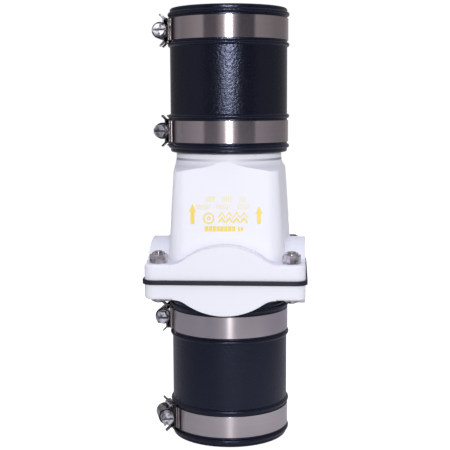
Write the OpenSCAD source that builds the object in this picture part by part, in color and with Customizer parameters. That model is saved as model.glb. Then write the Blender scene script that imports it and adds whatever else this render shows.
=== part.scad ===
// Swing check valve for a two inch pipe: a moulded two-part housing with a
// rubber flapper inside, and a clamped rubber coupling on each end.
// The origin is the centre of the lower coupling's open end. +Z is the
// direction of flow, -Y is the flat printed side, and the clamp screws are at -X.

/* [Pipe] */
// Outside diameter of the pipe that both couplings take
pipe_od = 60.3; // [59.8:0.1:61]
// Clear bore through the two stubs of the housing
bore_d = 52.5; // [50:0.5:53]

/* [Couplings] */
// Length of one rubber coupling
coupling_len = 85; // [80:1:95]
// Thickness of the coupling's wall
coupling_wall = 5.05; // [4.5:0.05:5.6]
// How far the ridges beside each band stand out
ridge_out = 1.3; // [1:0.1:1.5]
// Width of the groove between two ridges, in which a band lies
groove_w = 15.2; // [15.1:0.1:16]
// Distance from a coupling's end to the middle of its band
band_inset = 12.5; // [12:0.5:15]
// Width of the stop ring inside, halfway along a coupling
stop_w = 2; // [1.5:0.5:4]
// How far the stop ring reaches into the bore
stop_in = 1.5; // [1:0.5:2.5]
// Length of housing between the two couplings
housing_len = 89.2; // [88:0.1:95]

/* [Housing] */
// Height of the gasket's lower face above the lower coupling's end
joint_rise = 15; // [14.5:0.5:17]
// Thickness of the upper flange
upper_flange_t = 9.2; // [8.5:0.1:10.5]
// Thickness of the lower flange
lower_flange_t = 8.9; // [8.4:0.1:9.3]
// Width of plastic from a bolt's axis to the edge of the flange
bolt_edge = 8; // [7:0.5:9]
// Radius of the flange's corners, seen from above
flange_corner_r = 6; // [4:0.5:9]
// Softening of the flange's outer edges
flange_soft = 1.5; // [1.1:0.1:1.8]
// Radius of the round chamber in which the flapper is hung
chamber_r = 41; // [40:0.5:42]
// How far the lobe on each side of the upper flange stands up
lobe_rise = 10.4; // [10:0.1:10.8]
// Wall of the upper lobes over the round chamber
lobe_wall = 4; // [3.6:0.1:4.4]
// How far the lobe under each side of the lower flange hangs down
lobe_drop = 9.3; // [9:0.1:10]
// Radius of a lobe's round edge
lobe_r = 39; // [37:1:41]
// Radius of the hollow foot on each side of a lobe
lobe_foot_r = 13.5; // [12.5:0.5:14.5]
// Draft of the tapered box in degrees
box_draft = 3.8; // [3.4:0.1:4.1]
// Angle by which each side wall of the box opens towards the back, in degrees
box_flare = 2.6; // [2:0.1:3]
// Radius of the box's upright edges
box_corner_r = 10; // [8:0.5:11]
// Wall thickness of the box
box_wall = 3.2; // [2.8:0.1:3.6]
// Gap between the open flapper's edge and the box's wall, at the flange
box_clear = 3.6; // [3.2:0.1:3.7]
// Radius of the fillet between the roof and the neck
roof_fillet_r = 5; // [4:0.5:6]
// Slope of the roof in degrees
roof_slope = 18; // [15:1:21]
// Thickness of the roof
roof_t = 4; // [3.5:0.1:4.5]
// How far the neck's collar stands out from the stub
collar_out = 1.7; // [1.5:0.1:2.2]
// Height of the neck's collar above the roof's fillet
collar_h = 3; // [2.5:0.1:3.5]
// Depth of the moat between the seat and the lower flange
moat_depth = 5.5; // [4.5:0.1:5.8]

/* [Flapper] */
// Thickness of the rubber sheet of the gasket and flapper
sheet_t = 2.5; // [2:0.1:3]
// How far the gasket stands out of the flanges
gasket_out = 1.2; // [0.8:0.1:2]
// Width of the raised seat ring
seat_w = 2.25; // [1.8:0.05:3]
// How far the flapper overlaps the seat ring
seat_lap = 0.5; // [0.3:0.1:1]
// Length of the gasket's tab that holds the flapper, inside the chamber
tab_len = 5; // [4.5:0.1:5.5]
// Width of the tab and of the flapper's neck
neck_w = 22; // [16:1:28]
// Thickness of the steel weight on top
weight_t = 2.5; // [2:0.1:2.8]
// Thickness of the backing plate below
backing_t = 1.5; // [1:0.1:2]
// Gap between the backing plate's edge and the bore
plate_clear = 4.25; // [3.5:0.25:8]
// Radius of the rivet's shank
rivet_r = 2.5; // [2:0.1:3]

/* [Flange bolts] */
// Distance between neighbouring bolts
bolt_pitch = 77; // [76:0.5:80]
// Diameter of the bolts
bolt_d = 4.8; // [4:0.1:5]
// Diameter of the round bolt heads
bolt_head_d = 9.3; // [8.5:0.1:10.5]
// Height of the bolt heads
bolt_head_h = 3; // [2.5:0.1:3.5]
// Width across the flats of the nuts
nut_af = 9.5; // [9:0.1:10.5]
// Height of the hexagon of the nuts
nut_h = 5; // [4:0.1:6]
// Height of the nut's round collar with the nylon ring
nut_collar_h = 1.1; // [0.9:0.1:1.5]
// Length of bolt that shows beyond its nut
bolt_tail = 0.7; // [0.5:0.1:2]

/* [Clamps] */
// Width of a clamp's band
band_w = 12.7; // [12:0.1:13]
// Thickness of a band
band_t = 0.65; // [0.5:0.05:0.75]
// Thickness of the saddle under the housing
saddle_t = 0.9; // [0.8:0.05:1.1]
// Width of the saddle and of the clamp's housing
saddle_w = 14.8; // [14.5:0.1:15]
// Length of the clamp's housing along its screw
case_len = 13; // [12:0.5:16]
// Sheet thickness of the clamp's housing
case_t = 0.7; // [0.5:0.05:0.8]
// Outside radius of the worm
worm_r = 4.1; // [3.9:0.05:4.3]
// Pitch of the worm and of the band's slots
worm_pitch = 3.2; // [3:0.1:3.5]
// Depth of the worm's thread
thread_depth = 0.7; // [0.5:0.05:0.9]
// How far the worm reaches into the band's slots
worm_bite = 0.35; // [0.2:0.05:0.4]
// Width of a slot in the band
slot_w = 1.5; // [1.4:0.1:1.7]
// Length of a slot across the band
slot_len = 8.4; // [7:0.2:9]
// Number of slots on the band's way into the housing
slots_in = 13; // [6:1:16]
// Width across the flats of the screw's head
screw_af = 7; // [6.4:0.1:8]
// Length of the hexagon of the screw's head
screw_head_len = 4.6; // [4:0.1:6]
// Width of the screwdriver slot
driver_slot = 1.1; // [0.8:0.1:1.5]
// How far the flared ears stand out beside the clamp's housing
ear_out = 2.3; // [1.5:0.1:3]

/* [Hidden] */

// Circles above this number of sides are true circles in the solid model
$fn = 96;
eps = 0.01;

// Clearances
stub_fit = 0.05;
end_gap = 0.3;
hinge_gap = 0.3;
pin_gap = 0.05;
hole_gap = 0.35;
worm_gap = 0.2;
layer_gap = 0.05;

// Heights, from the bottom up
lower_stop_z = coupling_len / 2;
shoulder_z = coupling_len + end_gap;
joint_z = coupling_len + joint_rise;
lower_flange_z = joint_z - lower_flange_t;
upper_flange_z = joint_z + sheet_t;
flange_top_z = upper_flange_z + upper_flange_t;
upper_coupling_z = coupling_len + housing_len;
collar_top_z = upper_coupling_z - end_gap;
upper_stop_z = upper_coupling_z + coupling_len / 2;
hinge_z = joint_z + sheet_t / 2;

// Radii about the pipe's axis
pipe_r = pipe_od / 2;
bore_r = bore_d / 2;
stub_r = pipe_r - stub_fit;
coupling_r = pipe_r + coupling_wall;
collar_r = stub_r + collar_out;
seat_r = bore_r + seat_w;
flapper_r = seat_r + seat_lap;
plate_r = bore_r - plate_clear;
hinge_y = chamber_r - tab_len;

// Flange
bolt_half = bolt_pitch / 2;
flange_half = bolt_half + bolt_edge;
nut_collar_r = bolt_d / 2 + 1.3;
nut_lip = 0.4;
insert_r = nut_collar_r - 0.6;

// Box over the flapper
box_half = flapper_r + box_clear + box_wall;
box_taper = tan(box_draft);
box_widening = box_half * tan(box_flare);
collar_z = collar_top_z - collar_h;
roof_top_z = collar_z - roof_fillet_r;
ceiling_z = roof_top_z - roof_t;

// Lobes of the lower housing, round the end of the coupling
lobe_room_r = coupling_r + ridge_out + 1.1;
lobe_edge_z = lower_flange_z - lobe_drop;
moat_z = joint_z - moat_depth;

// Clamps: heights, and how far each is turned towards the back, in degrees
clamp_z = [upper_coupling_z + coupling_len - band_inset, upper_coupling_z + band_inset,
    coupling_len - band_inset, band_inset];
clamp_turn = [-2, -12, -5, 14];
// Length of each band's free end beyond its housing
tail_len = [5, 12, 6, 4];
band_r = coupling_r;
over_r = band_r + saddle_t + layer_gap;
over_top_r = over_r + band_t;
screw_r = over_top_r - worm_bite + worm_r;
saddle_half_deg = asin(case_len / 2 / band_r);
tail_deg = [for (len = tail_len) saddle_half_deg + len / over_r * 180 / PI];
slot_deg = asin(worm_pitch / over_top_r);
case_in_r = worm_r + worm_gap;
case_out_r = case_in_r + case_t;
shoulder_r = screw_r - 1.6;
neck_r = 2.8;
tail_r = 2;
screw_flange_r = 4;
screw_corner_r = screw_af / sqrt(3);

// Turning angles of the four nuts, as they happen to sit
nut_turn = [24, 18, 8, 0];

function arc(cx, cy, r, from, to, steps = 8) =
    [for (i = [0:steps]) let (a = from + (to - from) * i / steps)
        [cx + r * cos(a), cy + r * sin(a)]];
function polar(r, a) = [r * cos(a), r * sin(a)];

// Square plate with round corners, made of true arcs
module round_square(half, r) {
    square([2 * half, 2 * (half - r)], center = true);
    square([2 * (half - r), 2 * half], center = true);
    for (x = [-1, 1], y = [-1, 1])
        translate([x * (half - r), y * (half - r)]) circle(r);
}

module ring(r_in, r_out) {
    difference() {
        circle(r_out);
        circle(r_in);
    }
}

// Slice of a pie, under half a turn, to cut a ring to an arc
module slice(from, to) {
    far = 3 * band_r;
    polygon([[0, 0], polar(far, from), polar(far, (from + to) / 2), polar(far, to)]);
}

module at_bolts() {
    for (x = [-1, 1], y = [-1, 1])
        translate([x * bolt_half, y * bolt_half, 0]) children();
}

// Flange slab from z = 0 up, with its far edge softened
module flange(t) {
    hull() for (step = [[1, 0], [0.3, 0.3], [0, 1]])
        linear_extrude(t - flange_soft * step[0])
            round_square(flange_half - flange_soft * step[1],
                flange_corner_r - flange_soft * step[1], $fn = 48);
}

// Side view of a flat lobe that stands on a flange's face: a round edge between
// two hollow feet. An inset gives the hollow inside it.
module lobe_side(rise, inset) {
    turn = acos((lobe_r - rise + lobe_foot_r) / (lobe_r + lobe_foot_r));
    foot_x = (lobe_r + lobe_foot_r) * sin(turn);
    base = -2 - inset;
    edge = arc(0, rise - lobe_r, lobe_r - inset, 90, 90 - turn, 16);
    foot = arc(foot_x, lobe_foot_r, lobe_foot_r + inset, 270 - turn, 270);
    for (side = [0, 1]) mirror([side, 0])
        polygon(concat(edge, foot, [[foot_x, base], [0, base]]));
}

// The four lobes of one flange, as two ridges that cross over its middle
module lobes(rise, inset = 0) {
    for (turn = [0, 90]) rotate([90, 0, turn])
        linear_extrude(2 * flange_half, center = true) lobe_side(rise, inset);
}

// Plan of the box, a little wider at the back than at the front
module box_plan(half, r) {
    for (x = [-1, 1], y = [-1, 1])
        translate([x * (half + y * box_widening - r), y * (half - r)]) circle(r, $fn = 48);
}

// Tapered box with round upright edges: the outer form, or the hollow in it
module tapered_box(half, r, from_z, to_z) {
    hull() for (z = [from_z, to_z - eps])
        translate([0, 0, z]) linear_extrude(eps)
            box_plan(half - (z - flange_top_z) * box_taper,
                r - (z - flange_top_z) * box_taper);
}

// Everything below the roof: a slope, then a fillet up into the neck's collar
module under_roof() {
    fillet = arc(collar_r + roof_fillet_r, collar_z, roof_fillet_r, 270 - roof_slope, 180);
    far = 2 * flange_half;
    rotate_extrude() polygon(concat([[0, 0], [far, 0],
        [far, fillet[0][1] - (far - fillet[0][0]) * tan(roof_slope)]],
        fillet, [[0, collar_z]]));
}

module bolt_holes() {
    at_bolts() translate([0, 0, shoulder_z]) cylinder(r = bolt_d / 2 + hole_gap, h = housing_len);
}

module upper_housing() {
    stub_top_z = upper_stop_z - stop_w / 2 - end_gap;
    color("white") difference() {
        union() {
            intersection() {
                tapered_box(box_half, box_corner_r, upper_flange_z + 1, collar_top_z);
                under_roof();
            }
            translate([0, 0, flange_top_z]) lobes(lobe_rise);
            translate([0, 0, upper_flange_z]) flange(upper_flange_t);
            translate([0, 0, ceiling_z]) cylinder(r = stub_r, h = stub_top_z - ceiling_z);
            translate([0, 0, roof_top_z]) cylinder(r = collar_r, h = collar_top_z - roof_top_z);
        }
        // Hollow of the box, over the round chamber
        tapered_box(box_half - box_wall, box_corner_r - box_wall, flange_top_z, ceiling_z);
        translate([0, 0, upper_flange_z - 1]) cylinder(r = chamber_r, h = upper_flange_t + 1);
        // Hollow of the lobes, as far out as the round chamber
        intersection() {
            translate([0, 0, flange_top_z]) lobes(lobe_rise, lobe_wall);
            cylinder(r = chamber_r, h = ceiling_z);
        }
        // Funnel under the roof, and the bore
        translate([0, 0, ceiling_z - eps])
            cylinder(r1 = bore_r + roof_t, r2 = bore_r, h = roof_t);
        translate([0, 0, ceiling_z - 1]) cylinder(r = bore_r, h = coupling_len);
        bolt_holes();
    }
}

module lower_housing() {
    stub_end_z = lower_stop_z + stop_w / 2 + end_gap;
    seat_rise = 4;
    color("white") difference() {
        union() {
            difference() {
                union() {
                    translate([0, 0, joint_z]) mirror([0, 0, 1]) flange(lower_flange_t);
                    translate([0, 0, lower_flange_z]) mirror([0, 0, 1]) lobes(lobe_drop);
                }
                // Moat round the seat, open to the chamber
                translate([0, 0, moat_z]) cylinder(r = chamber_r, h = moat_depth + 1);
                // Room for the coupling's end inside the lobes
                cylinder(r = lobe_room_r, h = lower_flange_z);
            }
            // Collar that the coupling's end stands against
            translate([0, 0, shoulder_z])
                cylinder(r = collar_r, h = lower_flange_z + 1 - shoulder_z);
            translate([0, 0, stub_end_z])
                cylinder(r = stub_r, h = joint_z - seat_rise - stub_end_z);
            translate([0, 0, joint_z - seat_rise]) cylinder(r1 = stub_r, r2 = seat_r, h = seat_rise);
        }
        cylinder(r = bore_r, h = 2 * joint_z);
        bolt_holes();
    }
}

// Side view of the sheet's bend: a round nose on the hinge axis, or its seat
module hinge_nose(r, w) {
    translate([0, -hinge_y, hinge_z]) rotate([0, 90, 0]) cylinder(r = r, h = w, center = true);
}

module gasket() {
    color([0.16, 0.17, 0.23]) difference() {
        translate([0, 0, joint_z]) linear_extrude(sheet_t) difference() {
            union() {
                difference() {
                    round_square(flange_half + gasket_out, flange_corner_r + gasket_out);
                    circle(chamber_r);
                }
                translate([-neck_w / 2, -chamber_r - tab_len]) square([neck_w, 2 * tab_len]);
            }
            at_bolts() circle(bolt_d / 2 + pin_gap);
        }
        hinge_nose(sheet_t / 2 + hinge_gap, 2 * neck_w);
    }
}

module flapper() {
    color([0.13, 0.13, 0.15]) difference() {
        union() {
            translate([0, 0, joint_z]) cylinder(r = flapper_r, h = sheet_t);
            translate([-neck_w / 2, -hinge_y, joint_z]) cube([neck_w, hinge_y - plate_r, sheet_t]);
            hinge_nose(sheet_t / 2, neck_w);
        }
        cylinder(r = rivet_r + pin_gap, h = 2 * joint_z);
    }
}

module flapper_weight() {
    edge = 0.6;
    color("silver") translate([0, 0, joint_z + sheet_t]) difference() {
        union() {
            cylinder(r = plate_r, h = weight_t - edge);
            translate([0, 0, weight_t - edge]) cylinder(r1 = plate_r, r2 = plate_r - edge, h = edge);
        }
        translate([0, 0, -1]) cylinder(r = rivet_r + pin_gap, h = weight_t + 2);
    }
}

module flapper_backing() {
    color("silver") translate([0, 0, joint_z - backing_t]) difference() {
        cylinder(r = plate_r, h = backing_t);
        translate([0, 0, -1]) cylinder(r = rivet_r + pin_gap, h = backing_t + 2);
    }
}

// Rivet with a low round head on each side of the pack
module flapper_rivet() {
    head_r = 2 * rivet_r;
    head_h = rivet_r / 2;
    color("gainsboro") translate([0, 0, joint_z - backing_t]) {
        cylinder(r = rivet_r, h = backing_t + sheet_t + weight_t);
        mirror([0, 0, 1]) low_dome(head_r, head_h);
        translate([0, 0, backing_t + sheet_t + weight_t]) low_dome(head_r, head_h);
    }
}

// Cap of a sphere, with its flat side down at z = 0
module low_dome(r, h) {
    sphere_r = (r * r + h * h) / (2 * h);
    intersection() {
        translate([0, 0, h - sphere_r]) sphere(sphere_r);
        cylinder(r = r, h = h);
    }
}

module flange_bolts() {
    recess_w = bolt_d / 4;
    rim_h = bolt_head_h * 0.4;
    shank_len = flange_top_z - lower_flange_z + nut_h + nut_collar_h + bolt_tail;
    color([0.62, 0.6, 0.58]) at_bolts() difference() {
        union() {
            translate([0, 0, lower_flange_z]) cylinder(r = bolt_d / 2, h = shank_len);
            translate([0, 0, lower_flange_z - rim_h]) cylinder(r = bolt_head_d / 2, h = rim_h);
            translate([0, 0, lower_flange_z - rim_h]) mirror([0, 0, 1])
                low_dome(bolt_head_d / 2, bolt_head_h - rim_h);
        }
        // Cross recess in the head
        for (a = [0, 90])
            translate([0, 0, lower_flange_z - bolt_head_h]) rotate([0, 0, a + 20])
                cube([bolt_head_d * 0.5, recess_w, bolt_head_h], center = true);
    }
}

module at_nuts() {
    corners = [[-1, -1], [1, -1], [1, 1], [-1, 1]];
    for (i = [0:3])
        translate([corners[i][0] * bolt_half, corners[i][1] * bolt_half, flange_top_z])
            rotate([0, 0, nut_turn[i]]) children();
}

// Lock nuts: a bevelled hexagon with a round collar rolled over a nylon ring
module flange_nuts() {
    corner_r = nut_af / sqrt(3);
    bevel = corner_r - nut_af / 2;
    color([0.6, 0.58, 0.57]) at_nuts() difference() {
        union() {
            intersection() {
                cylinder(r = corner_r, h = nut_h, $fn = 6);
                union() {
                    cylinder(r = corner_r + 1, h = nut_h - bevel * 0.6);
                    translate([0, 0, nut_h - bevel * 0.6])
                        cylinder(r1 = corner_r, r2 = corner_r - bevel, h = bevel * 0.6);
                }
            }
            translate([0, 0, nut_h - 0.2]) cylinder(r = nut_collar_r, h = nut_collar_h + 0.2);
        }
        translate([0, 0, -1]) cylinder(r = bolt_d / 2 + pin_gap, h = nut_h + 2);
        translate([0, 0, nut_h]) cylinder(r = insert_r, h = nut_collar_h - nut_lip);
        translate([0, 0, nut_h]) cylinder(r = insert_r - nut_lip, h = nut_collar_h + 1);
    }
}

module nut_inserts() {
    color("white") at_nuts() translate([0, 0, nut_h]) difference() {
        cylinder(r = insert_r, h = nut_collar_h - nut_lip);
        translate([0, 0, -1]) cylinder(r = bolt_d / 2 + pin_gap, h = nut_collar_h + 2);
    }
}

// Rubber sleeve from z = 0 up: plain ends, two ridges beside each band, and a
// stop ring inside that keeps pipe and housing apart
module coupling() {
    ridges = [for (side = [-1, 1]) side * (groove_w / 2 + ridge_out)];
    lip_r = 1.2;
    color([0.09, 0.09, 0.11]) rotate_extrude() difference() {
        union() {
            translate([pipe_r, 0]) square([coupling_wall, coupling_len]);
            for (z = [band_inset, coupling_len - band_inset], dz = ridges)
                translate([coupling_r, z + dz]) circle(ridge_out);
            translate([pipe_r - stop_in, (coupling_len - stop_w) / 2])
                square([stop_in + coupling_wall / 2, stop_w]);
        }
        // Rounded outer edges of both ends
        for (end = [[0, lip_r], [coupling_len, coupling_len - lip_r]])
            difference() {
                translate([coupling_r - lip_r, min(end[0], end[1]) - (end[0] == 0 ? 1 : 0)])
                    square([2 * lip_r, lip_r + 1]);
                translate([coupling_r - lip_r, end[1]]) circle(lip_r);
            }
    }
}

module upper_coupling() {
    translate([0, 0, upper_coupling_z]) coupling();
}

module lower_coupling() {
    coupling();
}

// Frame of one clamp: +X points out through the screw, +Y to the screw's head
module at_clamp(i) {
    translate([0, 0, clamp_z[i]]) rotate([0, 0, 180 + clamp_turn[i]]) children();
}

// One strip: once round the coupling, up a step, over the saddle and on
// beyond the housing as the free end
module clamp_band(i) {
    bend_deg = saddle_half_deg + 8;
    over_deg = saddle_half_deg + 1;
    join = 1;
    inset = 0.02;
    slots_out = floor((tail_deg[i] - 3) / slot_deg);
    slot_skew = atan(worm_pitch / (PI * (2 * worm_r - thread_depth)));
    color([0.62, 0.6, 0.6]) at_clamp(i) difference() {
        translate([0, 0, -band_w / 2]) union() {
            linear_extrude(band_w) difference() {
                ring(band_r, band_r + band_t);
                slice(-bend_deg, saddle_half_deg + join / 2);
            }
            linear_extrude(band_w) intersection() {
                ring(over_r, over_top_r);
                slice(-over_deg, tail_deg[i]);
            }
            linear_extrude(band_w) polygon([
                polar(band_r + inset, -bend_deg - join), polar(band_r + inset, -bend_deg),
                polar(over_r + inset, -over_deg), polar(over_r + inset, join - over_deg),
                polar(over_top_r - inset, join - over_deg), polar(over_top_r - inset, -over_deg),
                polar(band_r + band_t - inset, -bend_deg),
                polar(band_r + band_t - inset, -bend_deg - join)]);
        }
        for (k = [-slots_in:slots_out]) {
            from_r = k > 0 ? band_r + band_t + layer_gap : band_r - 1;
            rotate([0, 0, k * slot_deg]) translate([from_r, 0, 0]) rotate([slot_skew, 0, 0])
                translate([0, -slot_w / 2, -slot_len / 2]) cube([3, slot_w, slot_len]);
        }
    }
}

// Curved plate under the housing, with a wing beside each edge of the band
module clamp_saddle(i) {
    color([0.58, 0.56, 0.57]) at_clamp(i) translate([0, 0, -saddle_w / 2])
        linear_extrude(saddle_w) intersection() {
            ring(band_r, band_r + saddle_t);
            slice(-saddle_half_deg, saddle_half_deg);
        }
}

// End view of the clamp's housing: X is outward, Y along the pipe
module case_profile() {
    leg_y = saddle_w / 2;
    difference() {
        translate([screw_r, 0]) ring(case_in_r, case_out_r);
        translate([0, -saddle_w]) square([shoulder_r, 2 * saddle_w]);
    }
    for (side = [-1, 1]) scale([1, side]) {
        translate([shoulder_r - case_t, case_in_r - 0.4]) square([case_t + eps, leg_y - case_in_r + 0.4]);
        translate([band_r - 2, leg_y - case_t]) square([shoulder_r - band_r + 2, case_t]);
    }
}

module clamp_case(i) {
    ear_len = 2.6;
    leg_y = saddle_w / 2;
    // The lobes leave the ears of the third clamp less room to flare
    room = i == 2 ? lobe_edge_z - clamp_z[i] - leg_y - end_gap : ear_out;
    rise = [ear_out, max(0, min(ear_out, room))];
    color([0.66, 0.64, 0.65]) at_clamp(i) difference() {
        union() {
            rotate([90, 0, 0]) linear_extrude(case_len, center = true) case_profile();
            // Flared ears at both ends of the housing
            for (y = [-1, 1], up = [0, 1])
                translate([0, y * (case_len - ear_len) / 2, 0]) mirror([0, 0, 1 - up])
                    rotate([90, 0, 0]) linear_extrude(ear_len, center = true)
                        polygon([[shoulder_r - case_t, leg_y], [shoulder_r, leg_y - case_t],
                            [shoulder_r + ear_out, leg_y - case_t + rise[up]],
                            [shoulder_r + ear_out - case_t, leg_y + rise[up]]]);
            // Lips that keep the worm in the barrel
            for (y = [-1, 1])
                translate([screw_r, y * (case_len - case_t) / 2, 0]) rotate([90, 0, 0])
                    cylinder(r = case_in_r + case_t / 2, h = case_t, center = true);
        }
        translate([0, 0, -saddle_w]) cylinder(r = over_top_r + layer_gap, h = 2 * saddle_w);
        translate([screw_r, 0, 0]) rotate([-90, 0, 0])
            cylinder(r = neck_r + worm_gap, h = case_len);
        translate([screw_r, 0, 0]) rotate([90, 0, 0])
            cylinder(r = tail_r + worm_gap, h = case_len);
    }
}

// Worm, with a necked front, a tail pin and a slotted hexagon head
module clamp_screw(i) {
    half = case_len / 2;
    worm_half = half - case_t - worm_gap;
    root_r = worm_r - thread_depth;
    crest = 0.7;
    foot = 1.3;
    head_y = half + 0.3;
    flange_t = 0.9;
    color([0.7, 0.68, 0.69]) at_clamp(i) translate([screw_r, 0, 0]) rotate([-90, 0, 0])
        difference() {
            union() {
                rotate_extrude() {
                    translate([0, -worm_half]) square([root_r, 2 * worm_half]);
                    translate([0, -half - 0.8]) square([tail_r, half]);
                    square([neck_r, head_y + flange_t]);
                    translate([0, head_y]) square([screw_flange_r, flange_t]);
                    for (k = [-1:1]) translate([0, k * worm_pitch])
                        polygon([[root_r - 1, -foot / 2], [root_r, -foot / 2], [worm_r, -crest / 2],
                            [worm_r, crest / 2], [root_r, foot / 2], [root_r - 1, foot / 2]]);
                }
                intersection() {
                    translate([0, 0, head_y])
                        cylinder(r = screw_corner_r, h = flange_t + screw_head_len, $fn = 6);
                    translate([0, 0, head_y + flange_t + screw_head_len - 2 * screw_af])
                        cylinder(r1 = screw_corner_r + 2 * screw_af - 0.6,
                            r2 = screw_corner_r - 0.6, h = 2 * screw_af);
                }
            }
            translate([-screw_af, -driver_slot / 2, head_y + flange_t + screw_head_len - 1.4])
                cube([2 * screw_af, driver_slot, 2]);
        }
}

upper_housing();
lower_housing();
gasket();
flapper();
flapper_weight();
flapper_backing();
flapper_rivet();
flange_bolts();
flange_nuts();
nut_inserts();
upper_coupling();
lower_coupling();
clamp_band(0);  // clamp_band_1
clamp_band(1);  // clamp_band_2
clamp_band(2);  // clamp_band_3
clamp_band(3);  // clamp_band_4
clamp_saddle(0);  // clamp_saddle_1
clamp_saddle(1);  // clamp_saddle_2
clamp_saddle(2);  // clamp_saddle_3
clamp_saddle(3);  // clamp_saddle_4
clamp_case(0);  // clamp_case_1
clamp_case(1);  // clamp_case_2
clamp_case(2);  // clamp_case_3
clamp_case(3);  // clamp_case_4
clamp_screw(0);  // clamp_screw_1
clamp_screw(1);  // clamp_screw_2
clamp_screw(2);  // clamp_screw_3
clamp_screw(3);  // clamp_screw_4
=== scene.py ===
# %% [markdown]
# # A non-return valve with clamped rubber couplings
# A non-return valve lets water out of a pump and not back in. This one is a white plastic
# housing in two parts, bolted together round a dark gasket, with a black rubber sleeve clamped
# to each end. The solids come from CAD, already at their true size and in their true place.
# This lesson gives them their finishes, adds the printed marks, which are too thin for CAD,
# and lights them. Every length is in metres, so a millimetre is written as `1 * MM`.

import math

import bmesh
import bpy
from mathutils import Matrix, Vector
from mathutils.bvhtree import BVHTree


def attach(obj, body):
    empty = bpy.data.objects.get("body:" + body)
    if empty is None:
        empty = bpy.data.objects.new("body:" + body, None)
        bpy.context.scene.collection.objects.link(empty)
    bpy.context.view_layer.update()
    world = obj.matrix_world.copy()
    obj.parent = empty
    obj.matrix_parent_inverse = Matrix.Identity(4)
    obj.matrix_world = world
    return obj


MM = 0.001

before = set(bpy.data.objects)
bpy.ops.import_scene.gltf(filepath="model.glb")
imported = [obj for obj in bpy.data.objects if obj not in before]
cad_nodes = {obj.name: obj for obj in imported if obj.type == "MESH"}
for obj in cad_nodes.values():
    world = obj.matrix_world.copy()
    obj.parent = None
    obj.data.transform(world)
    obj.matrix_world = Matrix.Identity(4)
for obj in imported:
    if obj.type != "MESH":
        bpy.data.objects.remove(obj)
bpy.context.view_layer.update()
print("CAD nodes:", len(cad_nodes))

# %% [markdown]
# ## The camera
# The photograph looks slightly down on the valve from 60 cm away, with a long lens. The
# curves of the clamp bands gave the height and the tilt: a band at eye level is a straight
# line, and one below it bends downwards. Blender's lens length goes with the sensor's width,
# so both are set, and these two it takes in millimetres. The camera's place is built up from
# turns and a shift, which keeps each measured number in view.

# %% Place the camera
SENSOR_WIDTH = 36
LENS_LENGTH = 79
NEAREST, FARTHEST = 0.01, 50
CAMERA_DISTANCE = 601.8 * MM
CAMERA_HEIGHT = 201.7 * MM
CAMERA_SIDESTEP = -2.6 * MM
CAMERA_AZIMUTH = math.radians(4.1)
CAMERA_PITCH = math.radians(-6.88)
CAMERA_ROLL = math.radians(-0.24)


def make_camera():
    right = Vector((math.cos(CAMERA_AZIMUTH), math.sin(CAMERA_AZIMUTH), 0))
    back = Vector((math.sin(CAMERA_AZIMUTH), -math.cos(CAMERA_AZIMUTH), 0))
    lens = bpy.data.cameras.new("studio_camera")
    lens.sensor_width = SENSOR_WIDTH
    lens.lens = LENS_LENGTH
    lens.clip_start, lens.clip_end = NEAREST, FARTHEST
    made = bpy.data.objects.new("studio_camera", lens)
    bpy.context.scene.collection.objects.link(made)
    place = CAMERA_DISTANCE * back + CAMERA_SIDESTEP * right + Vector((0, 0, CAMERA_HEIGHT))
    made.matrix_world = (
        Matrix.Translation(place)
        @ Matrix.Rotation(CAMERA_AZIMUTH, 4, "Z")
        @ Matrix.Rotation(math.pi / 2 + CAMERA_PITCH, 4, "X")
        @ Matrix.Rotation(CAMERA_ROLL, 4, "Z")
    )
    return made


camera = make_camera()
bpy.context.scene.camera = camera
print("camera at", [round(v, 4) for v in camera.matrix_world.translation])

# %% [markdown]
# ## A helper for shader nodes
# Every finish below is a small graph of shader nodes. One helper adds a node, sets its
# options and fills its inputs, each with a plain value or with a link from another node.

# %% Add a shader node
def fill_socket(tree, socket, value):
    if isinstance(value, bpy.types.NodeSocket):
        tree.links.new(value, socket)
    else:
        socket.default_value = value


def add(tree, kind, inputs=None, **options):
    made = tree.nodes.new("ShaderNode" + kind)
    for name, value in options.items():
        setattr(made, name, value)
    for name, value in (inputs or {}).items():
        fill_socket(tree, made.inputs[name], value)
    return made


print("node helper ready")

# %% [markdown]
# ## Short names for common nodes
# Sums, mixes and changes of range come up again and again, so each gets a function. Another
# fills a colour ramp. Its stops are an angle and a grey, so that they read like places on a
# compass, and a tint colours all the greys alike.

# %% Name the common nodes
def math_node(tree, operation, a, b=0.0, clamp=False):
    return add(tree, "Math", {0: a, 1: b}, operation=operation, use_clamp=clamp).outputs[0]


def mix_colour(tree, factor, a, b):
    made = add(tree, "Mix", {0: factor, 6: a, 7: b}, data_type="RGBA")
    return made.outputs[2]


def map_range(tree, value, start, end, low=0.0, high=1.0, ease="LINEAR"):
    ends = {"Value": value, "From Min": start, "From Max": end, "To Min": low, "To Max": high}
    return add(tree, "MapRange", ends, interpolation_type=ease).outputs[0]


def vary(tree, factor, low, high):
    return map_range(tree, factor, 0.0, 1.0, low, high)


def object_place(tree):
    return add(tree, "TexCoord").outputs["Object"]


def set_stops(ramp, stops, low, high, tint=(1, 1, 1)):
    elements = ramp.color_ramp.elements
    for number, (degrees, grey) in enumerate(stops):
        position = (degrees - low) / (high - low)
        stop = elements[number] if number < 2 else elements.new(position)
        stop.position = position
        stop.color = (*(grey * part for part in tint), 1)


print("common nodes ready")

# %% [markdown]
# ## Helpers for node groups
# An effect that several finishes share is built once as a node group, with named inputs and
# outputs, and placed in each material with its own numbers.

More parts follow.
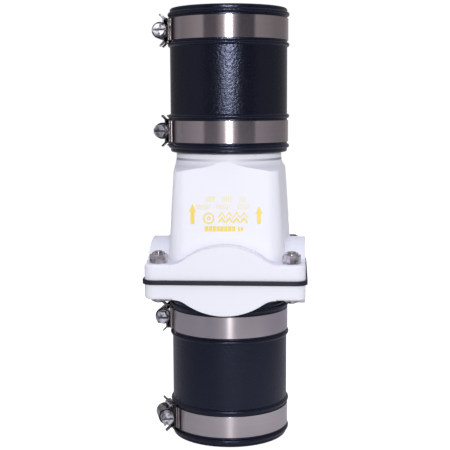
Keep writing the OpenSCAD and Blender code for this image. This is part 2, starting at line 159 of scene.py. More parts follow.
# %% Start and use a node group
def new_group(name, inputs, outputs):
    group = bpy.data.node_groups.new(name, "ShaderNodeTree")
    for label, value in inputs.items():
        socket = group.interface.new_socket(label, in_out="INPUT", socket_type="NodeSocketFloat")
        socket.default_value = value
    for label in outputs:
        group.interface.new_socket(label, in_out="OUTPUT", socket_type="NodeSocketFloat")
    given = group.nodes.new("NodeGroupInput").outputs
    out = group.nodes.new("NodeGroupOutput").inputs
    return group, given, out


def use(tree, group, inputs):
    made = tree.nodes.new("ShaderNodeGroup")
    made.node_tree = group
    for name, value in inputs.items():
        made.inputs[name].default_value = value
    return made.outputs


def tell_group(group):
    print("group", group.name, "has", [item.name for item in group.interface.items_tree])


print("group helpers ready")

# %% [markdown]
# ## The studio
# The background of the photograph is plain white. Metal shows what stands round it, so the
# room matters: the bands show a narrow lamp in the middle, a dark stretch on both sides of
# it, where the room behind the camera is, and paler walls further round. The room is drawn on
# the world's sphere by compass direction, which is quicker and less noisy than real walls.
# Zero degrees is towards the camera, and each stop is a direction and a grey. A wall stands on
# each side. Between the walls lies the dark side of the room, with the glow round the lamp in
# its middle, and the room is pale again behind the valve. Higher up, the walls fade into a
# bluish ceiling. The camera itself sees only the white backdrop.

# %% Paint the room on the world
CEILING = (0.37, 0.39, 0.57, 1)
CEILING_STARTS, CEILING_FULL = 0.42, 0.6
BACKDROP = (1.02, 1.02, 1.02, 1)
WALL_TINT = (1, 0.94, 0.97)
BEHIND_VALVE = 0.45
LEFT_WALL_FAR, LEFT_WALL_NEAR = 0.15, 0.4
RIGHT_WALL_NEAR, RIGHT_WALL_FAR = 0.33, 0.22
DARK_LEFT, LAMP_GLOW, DARK_RIGHT = 0.09, 0.6, 0.05
WALL_STOPS = (
    (-180, BEHIND_VALVE), (-135, LEFT_WALL_FAR), (-125, LEFT_WALL_FAR), (-46, LEFT_WALL_NEAR),
    (-44, DARK_LEFT), (-20, DARK_LEFT), (2, LAMP_GLOW), (24, DARK_RIGHT), (54, DARK_RIGHT),
    (56, RIGHT_WALL_NEAR), (105, RIGHT_WALL_FAR), (135, RIGHT_WALL_FAR), (180, BEHIND_VALVE),
)


def paint_room(tree):
    tree.nodes.clear()
    direction = add(tree, "SeparateXYZ", {0: add(tree, "TexCoord").outputs["Generated"]}).outputs
    towards_camera = math_node(tree, "MULTIPLY", direction["Y"], -1.0)
    compass = math_node(tree, "ARCTAN2", direction["X"], towards_camera)
    walls = add(tree, "ValToRGB", {0: map_range(tree, compass, -math.pi, math.pi)})
    set_stops(walls, WALL_STOPS, -180, 180, WALL_TINT)
    height = map_range(tree, direction["Z"], CEILING_STARTS, CEILING_FULL, ease="SMOOTHSTEP")
    room = mix_colour(tree, height, walls.outputs[0], CEILING)
    lit = add(tree, "Background", {"Color": room, "Strength": 1.0})
    seen = add(tree, "Background", {"Color": BACKDROP, "Strength": 1.0})
    eye = add(tree, "LightPath").outputs["Is Camera Ray"]
    shown = add(tree, "MixShader", {0: eye, 1: lit.outputs[0], 2: seen.outputs[0]})
    add(tree, "OutputWorld", {0: shown.outputs[0]})


world = bpy.data.worlds.new("studio")
world.use_nodes = True
paint_room(world.node_tree)
bpy.context.scene.world = world
bpy.context.scene.view_settings.view_transform = "Standard"
print("room painted with", len(WALL_STOPS), "stops")

# %% [markdown]
# ## Lamps
# A small soft box behind and above the camera gives the bright line down the middle of every
# round part, and a weak one overhead catches the rims. The other six are fills: they lift the
# matt plastic on the back, the sides, the flange's top and the front, as the white walls of
# a real studio do. Metal and rubber would show them as extra stripes, so they are hidden from
# glossy reflections. The low fill stands mostly below the floor, which cuts it to a strip.
# The camera sees none of the lamps. Powers are in watts.

# %% Add the lamps
LAMP_TINT = (0.97, 0.97, 1.0)
FILL_AIM = (0, 0, 0.13)
FILL_SIZE = (1, 1)
FILLS = (
    ("back_fill_right", (0.6, 1.5, 0.5), 7), ("back_fill_left", (-0.6, 1.5, 0.5), 5),
    ("side_fill_right", (1.6, 0.1, 0.35), 4.5), ("side_fill_left", (-1.6, 0.1, 0.35), 4.0),
    ("sky_fill", (0.02, 0.0, 1.8), 6.5), ("low_fill", (0.0, -0.9, -0.25), 0.5),
)


def soft_box(name, place, aim, size, power, colour=(1, 1, 1)):
    lamp = bpy.data.lights.new(name, "AREA")
    lamp.shape = "RECTANGLE"
    lamp.size, lamp.size_y = size
    lamp.energy = power
    lamp.color = colour
    made = bpy.data.objects.new(name, lamp)
    bpy.context.scene.collection.objects.link(made)
    made.location = place
    made.rotation_euler = (Vector(aim) - Vector(place)).to_track_quat("-Z", "Y").to_euler()
    made.visible_camera = False
    return made


soft_box("key_lamp", place=(0.12, -1.6, 0.50), aim=(0, 0, 0.14), size=(0.17, 0.26),
    power=14.5, colour=LAMP_TINT)
soft_box("top_lamp", place=(0.1, 0.3, 1.6), aim=(0, 0, 0.1), size=(1.2, 1.2), power=0.6)
for name, place, power in FILLS:
    fill = soft_box(name, place, FILL_AIM, FILL_SIZE, power)
    fill.visible_glossy = False
print("lamps: 2 that metal shows and", len(FILLS), "fills")

# %% [markdown]
# ## The floor
# The floor is matt and pale. For the camera it gives off light of its own, as a lit table
# does, so that it is as white as the backdrop. For reflections it is darker, with one paler
# patch at the front on the right, because that is what the photographed bands show. The
# Light Path node tells the two apart.

# %% Lay the floor
FLOOR_SIDE = 2.4
FLOOR_COLOUR = (0.38, 0.38, 0.39, 1)
FLOOR_GLOW_SEEN = 0.9
# The paler patch is a painted pool of light: the floor glows there in reflections, though no lamp
# lights it.
LIGHT_POOL_PLACE = (90 * MM, -120 * MM, 0)
LIGHT_POOL_INNER, LIGHT_POOL_OUTER = 30 * MM, 280 * MM
LIGHT_POOL_GLOW, FLOOR_GLOW = 0.32, 0.03


def paint_floor(tree, shader):
    apart = add(tree, "VectorMath", {0: object_place(tree), 1: LIGHT_POOL_PLACE}, operation="DISTANCE")
    painted_light_pool = map_range(tree, apart.outputs["Value"], LIGHT_POOL_INNER, LIGHT_POOL_OUTER,
        LIGHT_POOL_GLOW, FLOOR_GLOW, ease="SMOOTHSTEP")
    eye = add(tree, "LightPath").outputs["Is Camera Ray"]
    glow = math_node(tree, "MAXIMUM", painted_light_pool, vary(tree, eye, 0.0, FLOOR_GLOW_SEEN))
    tree.links.new(glow, shader.inputs["Emission Strength"])


def plain_floor():
    mesh = bpy.data.meshes.new("floor")
    half = FLOOR_SIDE / 2
    corners = [(-half, -half, 0), (half, -half, 0), (half, half, 0), (-half, half, 0)]
    mesh.from_pydata(corners, [], [(0, 1, 2, 3)])
    made = bpy.data.objects.new("floor", mesh)
    bpy.context.scene.collection.objects.link(made)
    paint = bpy.data.materials.new("pale_floor")
    paint.use_nodes = True
    shader = paint.node_tree.nodes["Principled BSDF"]
    shader.inputs["Base Color"].default_value = FLOOR_COLOUR
    shader.inputs["Roughness"].default_value = 0.9
    shader.inputs["Emission Color"].default_value = (1, 1, 1, 1)
    paint_floor(paint.node_tree, shader)
    mesh.materials.append(paint)
    return made


floor = plain_floor()
print("floor laid, side in m:", round(floor.dimensions.x, 2))

# %% [markdown]
# ## Grain
# No moulded surface is quite even. The white plastic has a faint ripple, and the rubber a
# fine pebble from its mould. Both are noise at a given size, so one group serves them all:
# it gives a height for the Bump node and a slow cloud for uneven colour.

# %% Build the grain group
def build_grain():
    group, given, out = new_group("grain", {"Size": 1 * MM, "Cloud size": 20 * MM},
        ("Height", "Cloud"))
    place = object_place(group)
    fine = math_node(group, "DIVIDE", 1.0, given["Size"])
    broad = math_node(group, "DIVIDE", 1.0, given["Cloud size"])
    ripple = add(group, "TexNoise",
        {"Vector": place, "Scale": fine, "Detail": 3.0, "Roughness": 0.6})
    cloud = add(group, "TexNoise",
        {"Vector": place, "Scale": broad, "Detail": 4.0, "Roughness": 0.55})
    group.links.new(ripple.outputs["Fac"], out["Height"])
    group.links.new(cloud.outputs["Fac"], out["Cloud"])
    return group


grain = build_grain()
tell_group(grain)

# %% [markdown]
# ## Worn edges
# Handling polishes the edges of metal and rubber. They could be painted by hand, but Blender
# can find them from the shape itself, on every piece alike. The Bevel node gives the normal
# that a slightly rounded edge would have, and where that differs from the true normal there
# is an edge.

# %% Build the edge group
SHAPE_SAMPLES = 6


def build_worn_edge():
    group, given, out = new_group("worn_edge", {"Radius": 0.4 * MM, "Sharpness": 4.0}, ("Mask",))
    rounded = add(group, "Bevel", {"Radius": given["Radius"]}, samples=SHAPE_SAMPLES).outputs[0]
    true_normal = add(group, "NewGeometry").outputs["Normal"]
    same = add(group, "VectorMath", {0: rounded, 1: true_normal}, operation="DOT_PRODUCT")
    apart = math_node(group, "SUBTRACT", 1.0, same.outputs["Value"])
    mask = math_node(group, "MULTIPLY", apart, given["Sharpness"], clamp=True)
    group.links.new(mask, out["Mask"])
    return group


worn_edge = build_worn_edge()
tell_group(worn_edge)

# %% [markdown]
# ## Dirt and painted shade in the corners
# Dirt stays where a cloth doesn't reach, and shade falls in the same corners, so the mask paints
# both into the colour. The Ambient Occlusion node says how much of the sky a point sees within a
# short reach, so a corner is where it sees little. Noise makes the mask patchy, as real dirt is.

# %% Build the corner group
DIRT_AND_SHADE_SPOTS_PER_METRE = 350.0
LEAST_DIRT_AND_SHADE = 0.5


def build_corner_dirt_and_shade():
    group, given, out = new_group("corner_dirt_and_shade", {"Reach": 3 * MM, "Amount": 1.0}, ("Mask",))
    sky = add(group, "AmbientOcclusion", {"Distance": given["Reach"]}, samples=SHAPE_SAMPLES)
    shut = math_node(group, "SUBTRACT", 1.0, sky.outputs["AO"])
    spots = add(group, "TexNoise",
        {"Vector": object_place(group), "Scale": DIRT_AND_SHADE_SPOTS_PER_METRE, "Detail": 4.0})
    uneven = math_node(group, "ADD", spots.outputs["Fac"], LEAST_DIRT_AND_SHADE)
    patchy = math_node(group, "MULTIPLY", shut, uneven)
    mask = math_node(group, "MULTIPLY", patchy, given["Amount"], clamp=True)
    group.links.new(mask, out["Mask"])
    return group


corner_dirt_and_shade = build_corner_dirt_and_shade()
tell_group(corner_dirt_and_shade)

# %% [markdown]
# ## Rolled steel strip
# The clamp bands are cut from strip that was rolled lengthwise, which leaves fine lines along
# it. On the clamped band these lines run round the pipe. They are a fifth of a millimetre
# wide, too fine to model, so they go into the bump. Noise that is squeezed along the pipe's
# axis and stretched round it gives them. They catch the light upwards and downwards only,
# which draws a lamp's reflection out into a tall stripe.

# %% Build the rolled lines group
BAND_RADIUS = 35.5 * MM


def build_rolled_lines():
    group, given, out = new_group("rolled_lines", {"Line": 0.2 * MM, "Length": 20 * MM},
        ("Height", "Shade"))
    place = add(group, "SeparateXYZ", {0: object_place(group)}).outputs
    turn = math_node(group, "ARCTAN2", place["Y"], place["X"])
    arc = math_node(group, "MULTIPLY", turn, BAND_RADIUS)
    round_pipe = math_node(group, "DIVIDE", arc, given["Length"])
    along = math_node(group, "DIVIDE", place["Z"], given["Line"])
    spot = add(group, "CombineXYZ", {"X": round_pipe, "Y": along}).outputs[0]
    lines = add(group, "TexNoise",
        {"Vector": spot, "Scale": 1.0, "Detail": 3.0, "Roughness": 0.7})
    shade = add(group, "TexNoise", {"Vector": spot, "Scale": 0.35, "Detail": 2.0})
    group.links.new(lines.outputs["Fac"], out["Height"])
    group.links.new(shade.outputs["Fac"], out["Shade"])
    return group


rolled_lines = build_rolled_lines()
tell_group(rolled_lines)

# %% [markdown]
# ## The painted shade beside each clamp
# A band overlaps itself under its worm, and its loose end, the tail, stops a little further
# round. On both sides of that end the strip is painted dark: a painted shadow where the lamp
# doesn't reach and a painted dark reflection of the clamp, while the cut edge itself shines.
# Bending the strip would change the CAD solid, so only its look is changed. The mask below
# measures the angle round the pipe from the tail's end, and each stop is such an angle and how
# dark the painted shade is there. Noise frays the outline, so that it doesn't look ruled.

# %% Build the painted tail shade group
TAIL_SHADE_STOPS = (
    (-9.0, 0.0), (-7.0, 0.9), (-0.5, 1.0), (0.8, 0.0), (7.8, 0.0), (8.8, 1.0),
    (13.0, 0.98), (16.0, 0.85), (19.0, 0.6), (22.0, 0.4), (26.0, 0.15), (29.5, 0.0),
)
TAIL_SHADE_REACH = 30.0
FRAY_PER_METRE = 420.0
FRAY_ANGLE = math.radians(2)


def build_painted_tail_shade():
    group, given, out = new_group("painted_tail_shade", {"Tail end": 0.0, "Stretch": 1.0}, ("Mask",))
    coords = object_place(group)
    place = add(group, "SeparateXYZ", {0: coords}).outputs
    forward = math_node(group, "MULTIPLY", place["Y"], -1.0)
    compass = math_node(group, "ARCTAN2", place["X"], forward)
    fray = add(group, "TexNoise", {"Vector": coords, "Scale": FRAY_PER_METRE, "Detail": 3.0})
    centred = math_node(group, "SUBTRACT", fray.outputs["Fac"], 0.5)
    wobble = math_node(group, "MULTIPLY", centred, FRAY_ANGLE)
    past_end = math_node(group, "SUBTRACT", compass, given["Tail end"])
    beyond = math_node(group, "DIVIDE", past_end, given["Stretch"])
    frayed = math_node(group, "ADD", beyond, wobble)
    far = math.radians(TAIL_SHADE_REACH)
    ramp = add(group, "ValToRGB", {0: map_range(group, frayed, -far, far)})
    set_stops(ramp, TAIL_SHADE_STOPS, -TAIL_SHADE_REACH, TAIL_SHADE_REACH)
    group.links.new(ramp.outputs[0], out["Mask"])
    return group


painted_tail_shade = build_painted_tail_shade()
tell_group(painted_tail_shade)

# %% [markdown]
# ## A start for every material
# Each material has its own Principled shader. Numbers that are the same all over the piece are
# set straight on the shader, and only what changes over the surface comes through nodes. The
# bump also rounds the sharp edges of the CAD solids a little, as a mould or a press does.

# %% Start a material
def new_material(name, **numbers):
    made = bpy.data.materials.new(name)
    made.use_nodes = True
    shader = made.node_tree.nodes["Principled BSDF"]
    for label, value in numbers.items():
        shader.inputs[label.replace("_", " ")].default_value = value
    return made, made.node_tree, shader


def rounded_bump(tree, shader, height, strength, depth, radius):
    bend = add(tree, "Bevel", {"Radius": radius}, samples=SHAPE_SAMPLES).outputs[0]
    made = add(tree, "Bump",
        {"Strength": strength, "Distance": depth, "Height": height, "Normal": bend})
    tree.links.new(made.outputs[0], shader.inputs["Normal"])


def tell_material(made):
    print("material", made.name, "has", len(made.node_tree.nodes), "nodes")


print("material helpers ready")

# %% [markdown]
# ## The painted shadow under the collar
# Where the roof of the housing meets the collar of its neck, a fine seam gets a painted shadow.
# It is faint at the front and dark at the sides, where the neck turns away from the light. It
# could be cut into the mesh, but a painted line of shade about a millimetre wide looks the same
# and needs no new faces. The line lies at one height, so height alone finds it, and its strength
# grows with the distance from the middle.

# %% Shade the seam
SEAM_HEIGHT = 170.3 * MM
SEAM_HALF, SEAM_FADE = 0.25 * MM, 1.1 * MM
SEAM_FAINT_AT, SEAM_DARK_AT = 6 * MM, 30 * MM
SEAM_FAINT, SEAM_DARK = 0.15, 0.85


def seam_shadow(tree):
    place = add(tree, "SeparateXYZ", {0: object_place(tree)}).outputs
    above = math_node(tree, "SUBTRACT", place["Z"], SEAM_HEIGHT)
    off_line = math_node(tree, "ABSOLUTE", above)
    line = map_range(tree, off_line, SEAM_HALF, SEAM_FADE, 1.0, 0.0, ease="SMOOTHSTEP")
    off_middle = math_node(tree, "ABSOLUTE", place["X"])
    aside = map_range(tree, off_middle, SEAM_FAINT_AT, SEAM_DARK_AT, SEAM_FAINT, SEAM_DARK)
    return math_node(tree, "MULTIPLY", line, aside)


print("seam at", round(SEAM_HEIGHT / MM, 1), "mm")

# %% [markdown]
# ## White moulded plastic
# The housing is satin white plastic with a cold, slightly violet tint in its shadows. The
# mould leaves a soft ripple that breaks up reflections. It is a very weak bump, because a
# strong one would look like orange peel. Inside corners get a trace of grey, dirt with painted
# shade, and the painted shadow of the seam is laid over that.

# %% Make the white plastic
PLASTIC_DULL, PLASTIC_BRIGHT = (0.875, 0.880, 0.908, 1), (0.905, 0.907, 0.930, 1)
PLASTIC_CORNER_DIRT_AND_SHADE, PLASTIC_SEAM_SHADOW = (0.50, 0.49, 0.60, 1), (0.20, 0.20, 0.30, 1)
PLASTIC_ROUGHNESS = (0.42, 0.54)


def make_white_plastic():
    made, tree, shader = new_material("white_plastic", IOR=1.5, Coat_Weight=0.1,
        Coat_Roughness=0.15)
    marks = use(tree, grain, {"Size": 1.6 * MM, "Cloud size": 30 * MM})
    dirt_and_shade = use(tree, corner_dirt_and_shade, {"Reach": 5 * MM, "Amount": 0.55})
    body = mix_colour(tree, marks["Cloud"], PLASTIC_DULL, PLASTIC_BRIGHT)
    # Corners get violet grey dirt and painted shade, and the seam a painted shadow.
    dirty_and_shaded = mix_colour(tree, dirt_and_shade["Mask"], body, PLASTIC_CORNER_DIRT_AND_SHADE)
    colour = mix_colour(tree, seam_shadow(tree), dirty_and_shaded, PLASTIC_SEAM_SHADOW)
    uneven = vary(tree, marks["Cloud"], *PLASTIC_ROUGHNESS)
    tree.links.new(colour, shader.inputs["Base Color"])
    tree.links.new(uneven, shader.inputs["Roughness"])
    rounded_bump(tree, shader, marks["Height"], strength=0.05, depth=0.4 * MM, radius=0.7 * MM)
    return made


white_plastic = make_white_plastic()
tell_material(white_plastic)

# %% [markdown]
# ## Rubber
# The couplings are bluish black with a satin face. In the lamp's reflection the pebble of the
# mould shows as mottling, so its grain is about a millimetre and a half and its bump is
# strong enough to break the stripe up. The gasket is a slate-coloured sheet, and the flapper
# is a plain black one. Edges are a little paler than the face, and corners almost black with
# dirt and painted shade.

# %% Make the rubbers
RUBBER_CORNER_DIRT_AND_SHADE = (0.004, 0.004, 0.006, 1)
EDGE_GAIN = 1.5
RUBBER_SPREAD = 0.07


def make_rubber(name, dark, pale, rough, size, depth, shine, tint=(1, 1, 1, 1)):
    made, tree, shader = new_material(name, IOR=1.5, Specular_Tint=tint,
        Specular_IOR_Level=shine)
    marks = use(tree, grain, {"Size": size, "Cloud size": 12 * MM})
    dirt_and_shade = use(tree, corner_dirt_and_shade, {"Reach": 3 * MM, "Amount": 0.5})
    edge = use(tree, worn_edge, {"Radius": 0.5 * MM, "Sharpness": 3.0})
    body = mix_colour(tree, marks["Cloud"], dark, pale)
    edge_colour = (*(EDGE_GAIN * part for part in pale[:3]), 1)
    worn = mix_colour(tree, edge["Mask"], body, edge_colour)
    # Corners turn almost black with dirt and painted shade.
    colour = mix_colour(tree, dirt_and_shade["Mask"], worn, RUBBER_CORNER_DIRT_AND_SHADE)
    uneven = vary(tree, marks["Height"], rough - RUBBER_SPREAD, rough + RUBBER_SPREAD)
    tree.links.new(colour, shader.inputs["Base Color"])
    tree.links.new(uneven, shader.inputs["Roughness"])
    rounded_bump(tree, shader, marks["Height"], strength=0.6, depth=depth, radius=0.4 * MM)
    tell_material(made)
    return made


coupling_rubber = make_rubber("coupling_rubber",
    dark=(0.0024, 0.0030, 0.0066, 1), pale=(0.0034, 0.0042, 0.0086, 1), rough=0.25,
    size=1.5 * MM, depth=0.34 * MM, shine=0.56, tint=(0.60, 0.66, 0.95, 1))
gasket_rubber = make_rubber("gasket_rubber",
    dark=(0.011, 0.012, 0.023, 1), pale=(0.017, 0.018, 0.031, 1), rough=0.5,
    size=0.6 * MM, depth=0.04 * MM, shine=0.3)
flapper_rubber = make_rubber("flapper_rubber",
    dark=(0.014, 0.014, 0.016, 1), pale=(0.022, 0.022, 0.025, 1), rough=0.45,
    size=0.8 * MM, depth=0.04 * MM, shine=0.4)

# %% [markdown]
# ## The steel of the bands
# The strip has its rolled lines and a warm tint. Where the painted tail shade is, the shader
# stops being a metal: a metal always shines at its edges, and a black non-metal with no gloss
# doesn't. So the mask turns Metallic down as it turns the colour dark. Each band has its own
# material, because its tail ends at its own angle: the first number is that angle in degrees,
# and the second says how far the painted shade is stretched.

# %% Make the strip steel
STRIP_DULL, STRIP_BRIGHT = (0.55, 0.49, 0.50, 1), (0.61, 0.55, 0.56, 1)
STRIP_CORNER_DIRT_AND_SHADE, STRIP_TAIL_SHADE = (0.10, 0.085, 0.085, 1), (0.012, 0.009, 0.012, 1)
STRIP_ROUGHNESS = (0.19, 0.23)
TAILS = {1: (-73.6, 1.0), 2: (-73.6, 0.95), 3: (-76.0, 0.6), 4: (-59.4, 0.5)}


def make_strip_steel(number, tail_end, stretch):
    made, tree, shader = new_material(f"strip_steel_{number}", Anisotropic=0.85,
        Anisotropic_Rotation=0.25, IOR=1.0, Specular_IOR_Level=0.0)
    lines = use(tree, rolled_lines, {"Line": 0.22 * MM, "Length": 20 * MM})
    marks = use(tree, grain, {"Size": 2 * MM, "Cloud size": 18 * MM})
    dirt_and_shade = use(tree, corner_dirt_and_shade, {"Reach": 1.5 * MM, "Amount": 0.5})
    tail_shade = use(tree, painted_tail_shade, {"Tail end": math.radians(tail_end), "Stretch": stretch})
    body = mix_colour(tree, lines["Shade"], STRIP_DULL, STRIP_BRIGHT)
    # Corners get dirt and painted shade; near the tail, a painted shadow and dark reflection.
    dirty_and_shaded = mix_colour(tree, dirt_and_shade["Mask"], body, STRIP_CORNER_DIRT_AND_SHADE)
    colour = mix_colour(tree, tail_shade["Mask"], dirty_and_shaded, STRIP_TAIL_SHADE)
    bare = vary(tree, tail_shade["Mask"], 1.0, 0.0)
    uneven = vary(tree, marks["Cloud"], *STRIP_ROUGHNESS)
    tree.links.new(colour, shader.inputs["Base Color"])
    tree.links.new(bare, shader.inputs["Metallic"])
    tree.links.new(uneven, shader.inputs["Roughness"])
    rounded_bump(tree, shader, lines["Height"], strength=0.35, depth=0.01 * MM,
        radius=0.12 * MM)
    tell_material(made)
    return made


strip_steels = {number: make_strip_steel(number, *tail) for number, tail in TAILS.items()}

# %% [markdown]
# ## The other steels
# The pressed cases, the screws, and the bolts with their nuts are patchy: a cloud three
# millimetres wide runs from a dull steel to a bright one, and the two numbers of `patches`
# say between which heights of the cloud it does so. Their edges are bright, and dirt with
# painted shade makes their corners nearly black, again with Metallic turned down. The plates
# on the flapper are plain and a little cloudy. One function makes them all, because they
# differ only in numbers.

# %% Make the other steels
STEEL_EDGE, STEEL_CORNER_DIRT_AND_SHADE = (0.90, 0.88, 0.90, 1), (0.012, 0.010, 0.010, 1)
STEEL_SMOOTHER, STEEL_ROUGHER = 0.06, 0.08


def make_steel(name, dull, bright, rough, dirt_and_shade_amount, reach, patches):
    made, tree, shader = new_material(name, IOR=1.0, Specular_IOR_Level=0.0)
    marks = use(tree, grain, {"Size": 0.7 * MM, "Cloud size": 3 * MM})
    edge = use(tree, worn_edge, {"Radius": 0.2 * MM, "Sharpness": 6.0})
    dirt_and_shade = use(tree, corner_dirt_and_shade, {"Reach": reach, "Amount": dirt_and_shade_amount})
    body = mix_colour(tree, map_range(tree, marks["Cloud"], *patches), dull, bright)
    # Corners turn nearly black with dirt and painted shade.
    dirty_and_shaded = mix_colour(tree, dirt_and_shade["Mask"], body, STEEL_CORNER_DIRT_AND_SHADE)
    colour = mix_colour(tree, edge["Mask"], dirty_and_shaded, STEEL_EDGE)
    clear_of_dirt_and_shade = vary(tree, dirt_and_shade["Mask"], 1.0, 0.0)
    bare = math_node(tree, "MAXIMUM", clear_of_dirt_and_shade, edge["Mask"])
    uneven = vary(tree, marks["Cloud"], rough - STEEL_SMOOTHER, rough + STEEL_ROUGHER)
    tree.links.new(colour, shader.inputs["Base Color"])
    tree.links.new(bare, shader.inputs["Metallic"])
    tree.links.new(uneven, shader.inputs["Roughness"])
    rounded_bump(tree, shader, marks["Height"], strength=0.4, depth=0.04 * MM, radius=0.2 * MM)
    tell_material(made)
    return made


pressed_steel = make_steel("pressed_steel",
    dull=(0.02, 0.018, 0.02, 1), bright=(0.60, 0.57, 0.60, 1), rough=0.22,
    dirt_and_shade_amount=3.0, reach=4 * MM, patches=(0.42, 0.60))
screw_steel = make_steel("screw_steel",
    dull=(0.16, 0.15, 0.16, 1), bright=(0.86, 0.84, 0.88, 1), rough=0.30,
    dirt_and_shade_amount=1.4, reach=1.6 * MM, patches=(0.38, 0.55))
bolt_steel = make_steel("bolt_steel",
    dull=(0.20, 0.18, 0.18, 1), bright=(0.86, 0.80, 0.81, 1), rough=0.22,
    dirt_and_shade_amount=0.9, reach=2 * MM, patches=(0.32, 0.62))
plate_steel = make_steel("plate_steel",
    dull=(0.48, 0.48, 0.49, 1), bright=(0.60, 0.60, 0.61, 1), rough=0.36,
    dirt_and_shade_amount=0.5, reach=1.6 * MM, patches=(0.0, 1.0))

# %% [markdown]
# ## Nylon
# A lock nut grips its bolt with a ring of nylon. Nylon lets a little light in, so it gets some
# subsurface scattering, and its ivory colour is uneven.

# %% Make the nylon of the lock nuts
NYLON_DARK, NYLON_PALE = (0.55, 0.55, 0.50, 1), (0.74, 0.74, 0.70, 1)


def make_nylon():
    made, tree, shader = new_material("nylon", Roughness=0.45, Subsurface_Weight=0.2,
        Subsurface_Scale=1 * MM)
    marks = use(tree, grain, {"Size": 0.5 * MM, "Cloud size": 3 * MM})
    colour = mix_colour(tree, marks["Cloud"], NYLON_DARK, NYLON_PALE)
    tree.links.new(colour, shader.inputs["Base Color"])
    rounded_bump(tree, shader, marks["Height"], strength=0.2, depth=0.03 * MM, radius=0.1 * MM)
    return made


nylon = make_nylon()
tell_material(nylon)

# %% [markdown]
# ## Dress the CAD nodes
# All the solids already have the right shape, so they only change their material. The table
# goes by the CAD names, and what all four clamps have in common is added by a loop.

# %% Give every CAD node its material
FINISHES = {
    "upper_housing": white_plastic, "lower_housing": white_plastic,
    "gasket": gasket_rubber, "flapper": flapper_rubber,
    "flapper_weight": plate_steel, "flapper_backing": plate_steel, "flapper_rivet": screw_steel,
    "flange_bolts": bolt_steel, "flange_nuts": bolt_steel, "nut_inserts": nylon,
    "upper_coupling": coupling_rubber, "lower_coupling": coupling_rubber,
}
for number, strip_steel in strip_steels.items():
    FINISHES[f"clamp_band_{number}"] = strip_steel
    FINISHES[f"clamp_saddle_{number}"] = pressed_steel
    FINISHES[f"clamp_case_{number}"] = pressed_steel
    FINISHES[f"clamp_screw_{number}"] = screw_steel
for name, cad_node in cad_nodes.items():
    cad_node.data.materials.clear()
    cad_node.data.materials.append(FINISHES[name])
print("dressed nodes:", len(cad_nodes))

# %% [markdown]
# ## Ink
# Yellow marks are printed on the flat front of the box, at its middle. Ink on plastic wears
# thin in spots, so a strong yellow gives way to a weak one where the noise is high. The two
# rows of small ticks are paler than the other marks, so they have an ink of their own.

# %% Make the inks
WORN_SPREAD = 0.12
INK_CLOUD = 0.5


def make_ink(name, strong, weak, cover):
    made, tree, shader = new_material(name, Roughness=0.35, Coat_Weight=0.1)
    marks = use(tree, grain, {"Size": 0.4 * MM, "Cloud size": 3 * MM})
    worn = map_range(tree, marks["Height"], cover, cover + WORN_SPREAD)
    patchy = mix_colour(tree, worn, strong, weak)
    colour = mix_colour(tree, vary(tree, marks["Cloud"], 0.0, INK_CLOUD), patchy, weak)
    tree.links.new(colour, shader.inputs["Base Color"])
    rounded_bump(tree, shader, marks["Height"], strength=0.1, depth=0.01 * MM, radius=0.03 * MM)
    tell_material(made)
    return made


strong_ink = make_ink("strong_ink",
    strong=(0.93, 0.68, 0.02, 1), weak=(0.92, 0.78, 0.22, 1), cover=0.56)
pale_ink = make_ink("pale_ink",
    strong=(0.90, 0.77, 0.36, 1), weak=(0.88, 0.83, 0.62, 1), cover=0.46)

# %% [markdown]
# ## From an outline to a printed mark
# A printed mark is a film of ink. It could be a mask in the plastic's material, but a thin
# mesh has crisper edges and its own finish. Each mark starts as flat outlines in millimetres,
# as seen from the front. A ray from the front pushes every corner onto the box, so that it
# follows the slope of the face, and the outline is then given the thickness of the ink.

# %% Lay a mark on the box
INK_THICKNESS = 0.05 * MM
RAY_START = -200 * MM
upper_skin = cad_nodes["upper_housing"].data
skin_tree = BVHTree.FromPolygons([v.co for v in upper_skin.vertices],
    [p.vertices for p in upper_skin.polygons])


def on_front(x, z):
    start = Vector((x * MM, RAY_START, z * MM))
    return skin_tree.ray_cast(start, Vector((0, 1, 0)))[0]


def add_film(shape, outline):
    back_row = [shape.verts.new(on_front(x, z)) for x, z in outline]
    front_row = [shape.verts.new(v.co - Vector((0, INK_THICKNESS, 0))) for v in back_row]
    shape.faces.new(front_row)
    for here in range(len(outline)):
        there = (here + 1) % len(outline)
        shape.faces.new((back_row[here], back_row[there], front_row[there], front_row[here]))


def print_mark(name, outlines, ink):
    shape = bmesh.new()
    for outline in outlines:
        add_film(shape, outline)
    bmesh.ops.recalc_face_normals(shape, faces=shape.faces)
    mesh = bpy.data.meshes.new(name)
    shape.to_mesh(mesh)
    shape.free()
    mesh.materials.append(ink)
    made = bpy.data.objects.new(name, mesh)
    bpy.context.scene.collection.objects.link(made)
    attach(made, "valve")
    print(name, "has", len(outlines), "outlines")


print("front of the box at the print, y in mm:", round(on_front(0, 135).y / MM, 2))

# %% [markdown]
# ## The arrows
# The marks are plain signs of the kind that any such valve could have: arrows, a ring with a
# dot, chevrons, and rows of ticks. Both arrows point up, the way that the water flows. An
# arrow has straight edges, so the corners of a stem and a head are all that it needs. A place
# is a distance from the middle and a height above the lower rim, in millimetres.

# %% Print the arrows
ARROW_STEM, ARROW_HEAD = 0.27, 0.42


def flow_arrow(x, z, width, height):
    half, stem = width / 2, width * ARROW_STEM
    neck = z + height - height * ARROW_HEAD
    return [
        [(x - stem, z), (x + stem, z), (x + stem, neck), (x - stem, neck)],
        [(x - half, neck), (x + half, neck), (x, z + height)],
    ]


left_arrow = flow_arrow(x=-19.05, z=133.7, width=4.3, height=11.8)
right_arrow = flow_arrow(x=19.5, z=133.9, width=4.0, height=10.2)
print_mark("print_arrow_left", left_arrow, strong_ink)
print_mark("print_arrow_right", right_arrow, strong_ink)

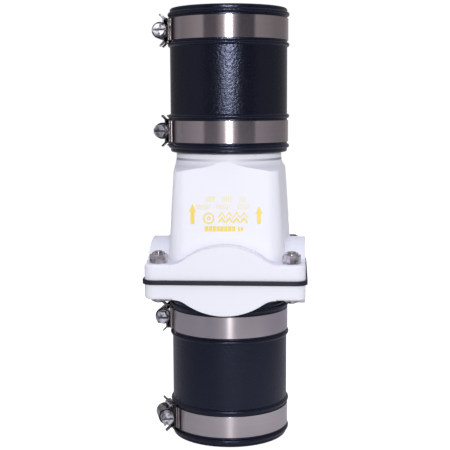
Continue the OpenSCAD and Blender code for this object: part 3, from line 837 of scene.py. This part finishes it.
# %% [markdown]
# ## The ring with a dot
# The ring stands beside the left arrow, and its dot is a smaller ring. Blender's faces have no
# holes, so a ring is cut into short pieces with four corners each, worked out from the angle
# of each step.

# %% Print the ring
RING_X, RING_Z = -9.6, 137.0


def ring_of(x, z, radius, weight, steps):
    made = []
    for step in range(steps):
        a, b = (2 * math.pi * s / steps for s in (step, step + 1))
        corners = ((radius - weight, a), (radius, a), (radius, b), (radius - weight, b))
        made.append([(x + r * math.cos(t), z + r * math.sin(t)) for r, t in corners])
    return made


ring_with_dot = ring_of(RING_X, RING_Z, radius=3.3, weight=0.8, steps=28)
ring_with_dot += ring_of(RING_X, RING_Z, radius=1.2, weight=0.8, steps=16)
print_mark("print_ring", ring_with_dot, strong_ink)

# %% [markdown]
# ## The chevrons
# Between the ring and the right arrow stand four columns of two chevrons each, the lower one
# heavier than the upper. A chevron is two slanting bars that meet at the top.

# %% Print the chevrons
CHEVRON_X, CHEVRON_PITCH, CHEVRON_COLUMNS = -2.0, 4.3, 4
CHEVRON_WIDTH, CHEVRON_HEIGHT = 4.0, 3.9
CHEVRON_ROWS = ((133.9, 1.4), (137.0, 1.0))


def chevron(x, z, weight):
    half, top = CHEVRON_WIDTH / 2, z + CHEVRON_HEIGHT
    return [
        [(x - half, z), (x, top - weight), (x, top), (x - half, z + weight)],
        [(x, top - weight), (x + half, z), (x + half, z + weight), (x, top)],
    ]


chevrons = []
for column in range(CHEVRON_COLUMNS):
    for z, weight in CHEVRON_ROWS:
        chevrons += chevron(CHEVRON_X + CHEVRON_PITCH * column, z, weight)
print_mark("print_chevrons", chevrons, strong_ink)

# %% [markdown]
# ## The rows of ticks
# A row of thick ticks runs below the chevrons, and two rows of small ones above. A row is put
# together from runs of ticks, and each run is a loop with an even pitch.

# %% Print the ticks
SMALL_TICK_WIDTH = 0.7


def bar(x, z, width, height):
    return [(x, z), (x + width, z), (x + width, z + height), (x, z + height)]


def ticks(x_from, x_to, z, height, pitch, width):
    count = int((x_to - x_from) / pitch)
    return [bar(x_from + n * pitch, z, width, height) for n in range(count)]


def print_small_ticks(name, runs, z, height, pitch):
    row = []
    for x_from, x_to in runs:
        row += ticks(x_from, x_to, z, height, pitch, SMALL_TICK_WIDTH)
    print_mark(name, row, pale_ink)


thick_row = ticks(x_from=-11.8, x_to=6.4, z=129.5, height=3.0, pitch=2.25, width=1.9)
thick_row += ticks(x_from=7.4, x_to=12.4, z=129.7, height=2.4, pitch=1.7, width=1.3)
print_mark("print_bar", thick_row, strong_ink)
print_small_ticks("print_ticks_top", ((-11.3, -4.6), (-2.0, 4.8), (8.0, 12.8)),
    z=146.6, height=3.1, pitch=1.15)
print_small_ticks("print_ticks_low", ((-16.8, -7.4), (-5.2, 3.8), (6.9, 14.9)),
    z=142.4, height=2.6, pitch=1.2)
